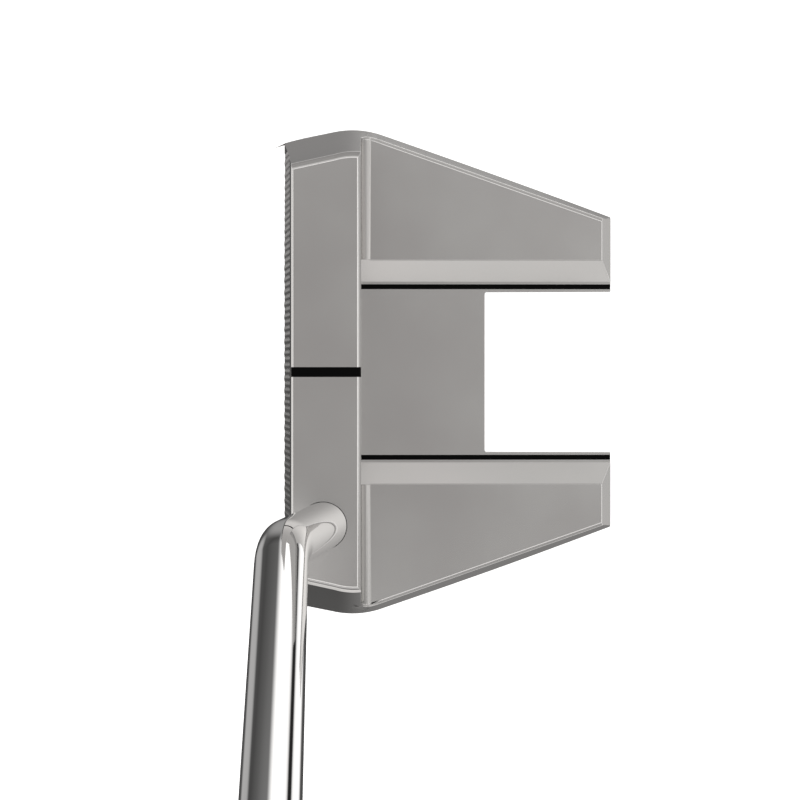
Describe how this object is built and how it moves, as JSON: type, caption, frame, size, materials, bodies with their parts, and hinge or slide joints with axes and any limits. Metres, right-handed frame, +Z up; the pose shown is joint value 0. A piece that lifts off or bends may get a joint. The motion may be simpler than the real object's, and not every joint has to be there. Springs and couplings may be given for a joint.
{
  "type": "mallet putter",
  "caption": "Mallet putter with a milled steel head, twin rear prongs, a single-bend chromed shaft and a pistol grip.",
  "frame": {"origin": "on the flat middle of the sole, under the centre sight line", "axes": "+Z up from the sole, -Y the way the striking face looks, +Y towards the prongs, -X towards the toe, +X towards the heel and the golfer"},
  "size_m": [0.3606, 0.0782, 0.8154],
  "materials": {
    "satin_steel": "satin, milled and bead blasted",
    "black_paint": "satin paint fill",
    "weight_steel": "turned",
    "black_rubber": "matte",
    "shaft_chrome": "polished chrome plate",
    "epoxy": "cured adhesive",
    "cork": "matte",
    "tape": "matte",
    "grip_foam": "matte foam rubber",
    "grip_skin": "fine dimpled polyurethane",
    "grip_cap": "matte moulded rubber"
  },
  "bodies": {
    "root": {"head_body": "satin_steel", "centre_sight_line": "black_paint", "toe_alignment_line": "black_paint", "heel_alignment_line": "black_paint", "toe_sole_weight": "weight_steel", "heel_sole_weight": "weight_steel", "toe_weight_o_ring": "black_rubber", "heel_weight_o_ring": "black_rubber", "shaft": "shaft_chrome", "shaft_bond": "epoxy", "shaft_tip_plug": "cork", "grip_tape": "tape", "grip_underlisting": "grip_foam", "grip_skin": "grip_skin", "grip_end_cap": "grip_cap"}
  },
  "joints": []
}
